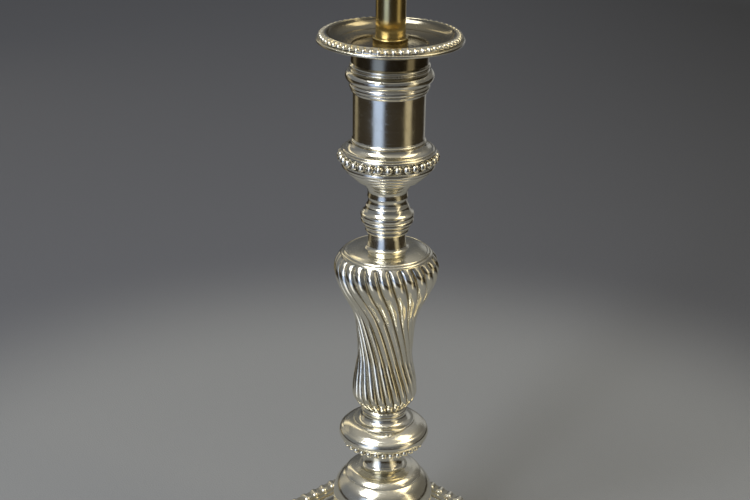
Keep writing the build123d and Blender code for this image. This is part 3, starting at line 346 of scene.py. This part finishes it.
# Each spring is replaced by a copy with a mesh of its own, attached to the body.
for side in ("left", "right"):
    node = f"contact_spring_{side}"
    spring = bpy.data.objects.new(f"pressed_spring_{side}", frame["nodes"][node].data.copy())
    bpy.context.scene.collection.objects.link(spring)
    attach(spring, "body")
    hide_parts(node)
    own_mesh(spring)

# ---- Floor ------------------------------------------------------------------

CAMERA_AZIMUTH = 45
CIRCLE_SIDES = 96
FLOOR_RADIUS = 12.0
PALE = (0.325, 0.334, 0.347, 1)
# Painted shade beyond the lamp's surroundings, darker still towards the camera's right, then
# painted light that turns the floor pale again far off.
FAR = (0.168, 0.175, 0.199, 1)
FAR_SHADE = (0.102, 0.104, 0.112, 1)
DISTANCE = (0.50, 0.52, 0.56, 1)
NAP_SHADE = (0.30, 0.30, 0.31, 1)
NAP_SHARE = 0.06
CLOTH_NAP_HEIGHT = 0.0002


def around(azimuth, distance, height):
    """A place round the lamp: azimuth 0 is on the -Y side, 90 on the +X side."""
    angle = math.radians(azimuth)
    return (distance * math.sin(angle), -distance * math.cos(angle), height)


def make_floor():
    """A pale cloth floor with painted shade beyond the lamp's surroundings, darker still towards
    the camera's right, and painted light that makes it pale again far off.
    """
    sheet = bmesh.new()
    bmesh.ops.create_circle(sheet, cap_ends=True, segments=CIRCLE_SIDES, radius=FLOOR_RADIUS)
    mesh = bpy.data.meshes.new("floor")
    sheet.to_mesh(mesh)
    sheet.free()
    floor = bpy.data.objects.new("floor", mesh)
    bpy.context.scene.collection.objects.link(floor)
    f = Finish("pale_cloth", Specular_IOR_Level=0.0)
    reach = f.length(f.place)
    to_the_right = f.towards(f.place, around(CAMERA_AZIMUTH + 90, 1, 0))
    # Painted shade: the floor beyond the lamp is darker, and darker still towards the camera's
    # right.
    beyond = f.blend(f.fit(to_the_right, 0.0, 0.45), FAR, FAR_SHADE)
    # Painted light: far off the floor is painted paler again.
    beyond = f.blend(f.fit(reach, 1.3, 4.0), beyond, DISTANCE)
    colour = f.blend(f.fit(reach, 0.20, 0.42, curve="SMOOTHERSTEP"), PALE, beyond)
    nap = f.fit(f.noise(700, 3.0), 0.3, 0.7, 0.0, NAP_SHARE)
    colour = f.blend(nap, colour, NAP_SHADE)
    mesh.materials.append(f.finish(colour, f.fit(nap, 0.0, NAP_SHARE, 0.85, 0.95),
                                   f.bump(f.noise(1200, 3.0), CLOTH_NAP_HEIGHT)))


make_floor()

# ---- Cards and a mat that only reflections in the metal show -----------------

COOL = (0.49, 0.64, 1.0)
NEUTRAL = (0.95, 0.97, 1.0)
WARM = (1.0, 0.87, 0.58)
# Colours of a painted dark reflection: the dark ring is seen only in the metal.
MAT_BROWN = (0.060, 0.050, 0.038, 1)
MAT_DARK = (0.040, 0.033, 0.024, 1)
MAT_INNER_RADIUS = 0.38
MAT_OUTER_RADIUS = 3.0
MAT_LIFT = 0.001
CARD_DISTANCE = 0.40
CARD_HEIGHT = 0.30
LOW_CARD_DISTANCE = 0.20
LOW_CARD_HEIGHT = 0.095
# A card glows fully to this share of its width from the middle, and fades to nothing at its edges.
FULL_GLOW = 0.18


def reflected_only(mesh, name, material, place, turn=0.0):
    mesh.materials.append(material)
    card = bpy.data.objects.new(name, mesh)
    card.location = place
    card.rotation_euler = (0, 0, turn)
    bpy.context.scene.collection.objects.link(card)
    card.visible_camera = card.visible_diffuse = False
    card.visible_shadow = card.visible_transmission = False


def dark_mat():
    """A dark ring on the floor, beyond the pale cloth, for contrast in the metal: a painted dark
    reflection, seen only in the metal.
    """
    sides = range(CIRCLE_SIDES)
    turns = [math.tau * n / CIRCLE_SIDES for n in sides]
    points = [(radius * math.cos(turn), radius * math.sin(turn), 0.0)
              for radius in (MAT_INNER_RADIUS, MAT_OUTER_RADIUS) for turn in turns]
    quads = [(n, (n + 1) % CIRCLE_SIDES, CIRCLE_SIDES + (n + 1) % CIRCLE_SIDES, CIRCLE_SIDES + n)
             for n in sides]
    mesh = bpy.data.meshes.new("dark_ring")
    mesh.from_pydata(points, [], quads)
    f = Finish("dark_ring", Specular_IOR_Level=0.0)
    colour = f.blend(f.noise(3.0), MAT_BROWN, MAT_DARK)
    reflected_only(mesh, "dark_ring", f.finish(colour, 0.9), (0, 0, MAT_LIFT))


def glowing_card(name, azimuth, distance, width, height, radiance, colour):
    """An upright card on the floor that faces the lamp and fades towards its edges."""
    mesh = bpy.data.meshes.new(name)
    half = width / 2
    mesh.from_pydata([(-half, 0, 0), (half, 0, 0), (half, 0, height), (-half, 0, height)],
                     [], [(0, 1, 2, 3)])
    material = bpy.data.materials.new(name)
    material.use_nodes = True
    material.node_tree.nodes.clear()
    f = Nodes(material.node_tree)
    parts = f.add("ShaderNodeSeparateXYZ")
    f.put(parts.inputs[0], f.add("ShaderNodeTexCoord").outputs["Object"])
    offset = f.math("ABSOLUTE", parts.outputs["X"])
    glow = f.add("ShaderNodeEmission")
    glow.inputs["Color"].default_value = (*colour, 1)
    f.put(glow.inputs["Strength"],
          f.fit(offset, width * FULL_GLOW, half, radiance, 0.0, curve="SMOOTHSTEP"))
    both = f.add("ShaderNodeAddShader")
    f.put_all(both.inputs, (glow.outputs[0], f.add("ShaderNodeBsdfTransparent").outputs[0]))
    f.put(f.add("ShaderNodeOutputMaterial").inputs["Surface"], both.outputs[0])
    reflected_only(mesh, name, material, around(azimuth, distance, 0.0), math.radians(azimuth))


dark_mat()
# name, degrees round from the camera, width, radiance, colour
for name, turn, width, radiance, colour in (
        ("cool_card", -34, 0.34, 1.0, COOL),
        ("warm_card", 62, 0.24, 0.42, WARM),
        ("back_card", 155, 0.24, 0.26, NEUTRAL),
        ("back_warm_card", 235, 0.20, 0.24, WARM)):
    glowing_card(name, CAMERA_AZIMUTH + turn, CARD_DISTANCE, width, CARD_HEIGHT, radiance, colour)
for name, turn, width, radiance, colour in (
        ("low_cool_card", -40, 0.16, 0.85, NEUTRAL),
        ("low_warm_card", 50, 0.10, 0.60, WARM)):
    glowing_card(name, CAMERA_AZIMUTH + turn, LOW_CARD_DISTANCE, width, LOW_CARD_HEIGHT,
                 radiance, colour)

# ---- Lamps and surroundings -------------------------------------------------

STEM_MIDDLE = (0, 0, 0.26)
ABOVE_THE_DOME = (0, 0, 0.12)
ROOM = (0.100, 0.104, 0.112, 1)
COOL_SIDE = (0.17, 0.18, 0.20, 1)
WARM_SIDE = (0.135, 0.130, 0.122, 1)
CEILING = (0.42, 0.41, 0.38, 1)


def soft_light(name, place, aim, size, radiance, colour):
    """A rectangular lamp of a given radiance, turned to face a point."""
    lamp = bpy.data.lights.new(name, "AREA")
    lamp.shape = "RECTANGLE"
    lamp.size, lamp.size_y = size
    lamp.energy = radiance * size[0] * size[1] * math.pi
    lamp.color = colour
    holder = bpy.data.objects.new(name, lamp)
    holder.location = place
    holder.rotation_euler = (Vector(aim) - Vector(place)).to_track_quat("-Z", "Y").to_euler()
    holder.visible_camera = False
    bpy.context.scene.collection.objects.link(holder)


def make_sky():
    """Soft surroundings: a pale ceiling over a dim room, with one cooler and one warmer side."""
    world = bpy.data.worlds.new("studio")
    world.use_nodes = True
    bpy.context.scene.world = world
    f = Nodes(world.node_tree)
    direction = f.add("ShaderNodeTexCoord").outputs["Generated"]
    colour = ROOM
    for aim, low, high, towards_it in (
            (around(CAMERA_AZIMUTH - 95, 1, 0), 0.2, 0.9, COOL_SIDE),
            (around(CAMERA_AZIMUTH + 100, 1, 0), 0.2, 0.9, WARM_SIDE),
            ((0, 0, 1), 0.30, 1.0, CEILING)):
        share = f.fit(f.towards(direction, aim), low, high, curve="SMOOTHSTEP")
        colour = f.blend(share, colour, towards_it)
    f.put(f.tree.nodes["Background"].inputs["Color"], colour)


# name, degrees round from the camera, distance, height, aim, size, radiance, colour
for name, turn, distance, height, aim, size, radiance, colour in (
        ("window", -32, 0.75, 0.60, STEM_MIDDLE, (0.10, 0.90), 4.2, NEUTRAL),
        ("warm_strip", 66, 0.80, 0.55, STEM_MIDDLE, (0.08, 0.85), 1.8, WARM),
        ("back_strip", 215, 0.85, 0.60, STEM_MIDDLE, (0.10, 0.90), 1.2, WARM),
        ("key", -48, 0.85, 1.20, ABOVE_THE_DOME, (0.60, 0.70), 6.4, NEUTRAL),
        ("fill", 88, 0.80, 1.25, ABOVE_THE_DOME, (0.60, 0.60), 2.5, WARM)):
    soft_light(name, around(CAMERA_AZIMUTH + turn, distance, height), aim, size, radiance, colour)
make_sky()

# ---- Camera -----------------------------------------------------------------

CAMERA_LENS = 68.64
SENSOR_WIDTH = 36
CAMERA_TILT_DOWN = 22.5
CAMERA_ROLL = 0.81
CAMERA_PLACE = (-0.0052, -0.5847, 0.4058)

camera_data = bpy.data.cameras.new("camera")
camera_data.lens = CAMERA_LENS
camera_data.sensor_width = SENSOR_WIDTH
camera = bpy.data.objects.new("camera", camera_data)
bpy.context.scene.collection.objects.link(camera)
spin = Matrix.Rotation(math.radians(CAMERA_AZIMUTH), 4, "Z")
tilt = Matrix.Rotation(math.radians(90 - CAMERA_TILT_DOWN), 4, "X")
roll = Matrix.Rotation(math.radians(CAMERA_ROLL), 4, "Z")
camera.matrix_world = spin @ Matrix.Translation(CAMERA_PLACE) @ tilt @ roll
bpy.context.scene.camera = camera
bpy.context.scene.view_settings.view_transform = "Standard"
